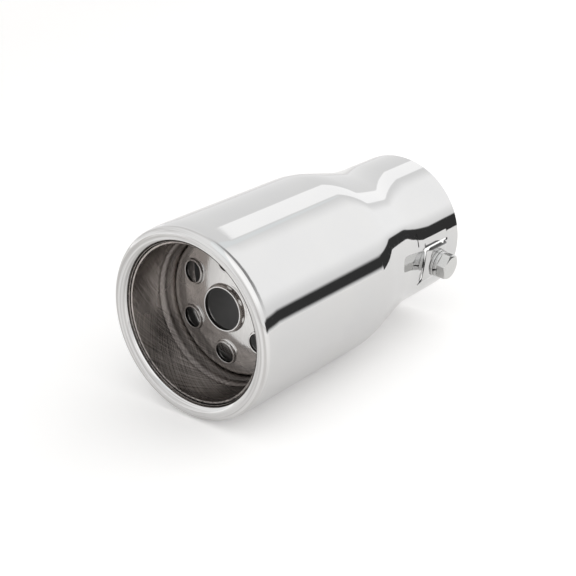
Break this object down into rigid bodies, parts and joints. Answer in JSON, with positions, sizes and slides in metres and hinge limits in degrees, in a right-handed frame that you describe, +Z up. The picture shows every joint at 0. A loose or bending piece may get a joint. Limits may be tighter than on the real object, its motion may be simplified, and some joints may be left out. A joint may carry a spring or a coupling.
{
  "type": "exhaust tip",
  "caption": "Round clamp-on exhaust tip: a polished steel tube with a rolled lip, an inner sleeve, a domed baffle with raised holes, and a slit neck with a bolted clamp lug.",
  "frame": {"origin": "centre of the inlet end, on the axis of the tube, where the tailpipe goes in", "axes": "the tube's axis is Y: +Y points out of the inlet towards the tailpipe and -Y out of the mouth; +Z is up; the clamp bolt stands out close to +X, 8 degrees below it"},
  "size_m": [0.0779, 0.1384, 0.076],
  "materials": {
    "polished_shell": "mirror-polished stainless steel",
    "brushed_liner": "fine brushed stainless steel, brushed round the axis",
    "baffle_plate": "satin pressed stainless steel",
    "bolt_steel": "bright stainless steel, rolled thread",
    "washer_steel": "satin stainless steel",
    "nut_steel": "plain mill-finish steel"
  },
  "bodies": {
    "root": {"outer_shell": "polished_shell", "inner_sleeve": "brushed_liner", "baffle": "baffle_plate", "clamp_bolt": "bolt_steel", "spring_washer": "washer_steel", "flat_washer": "washer_steel", "nut_plate": "nut_steel"}
  },
  "joints": []
}
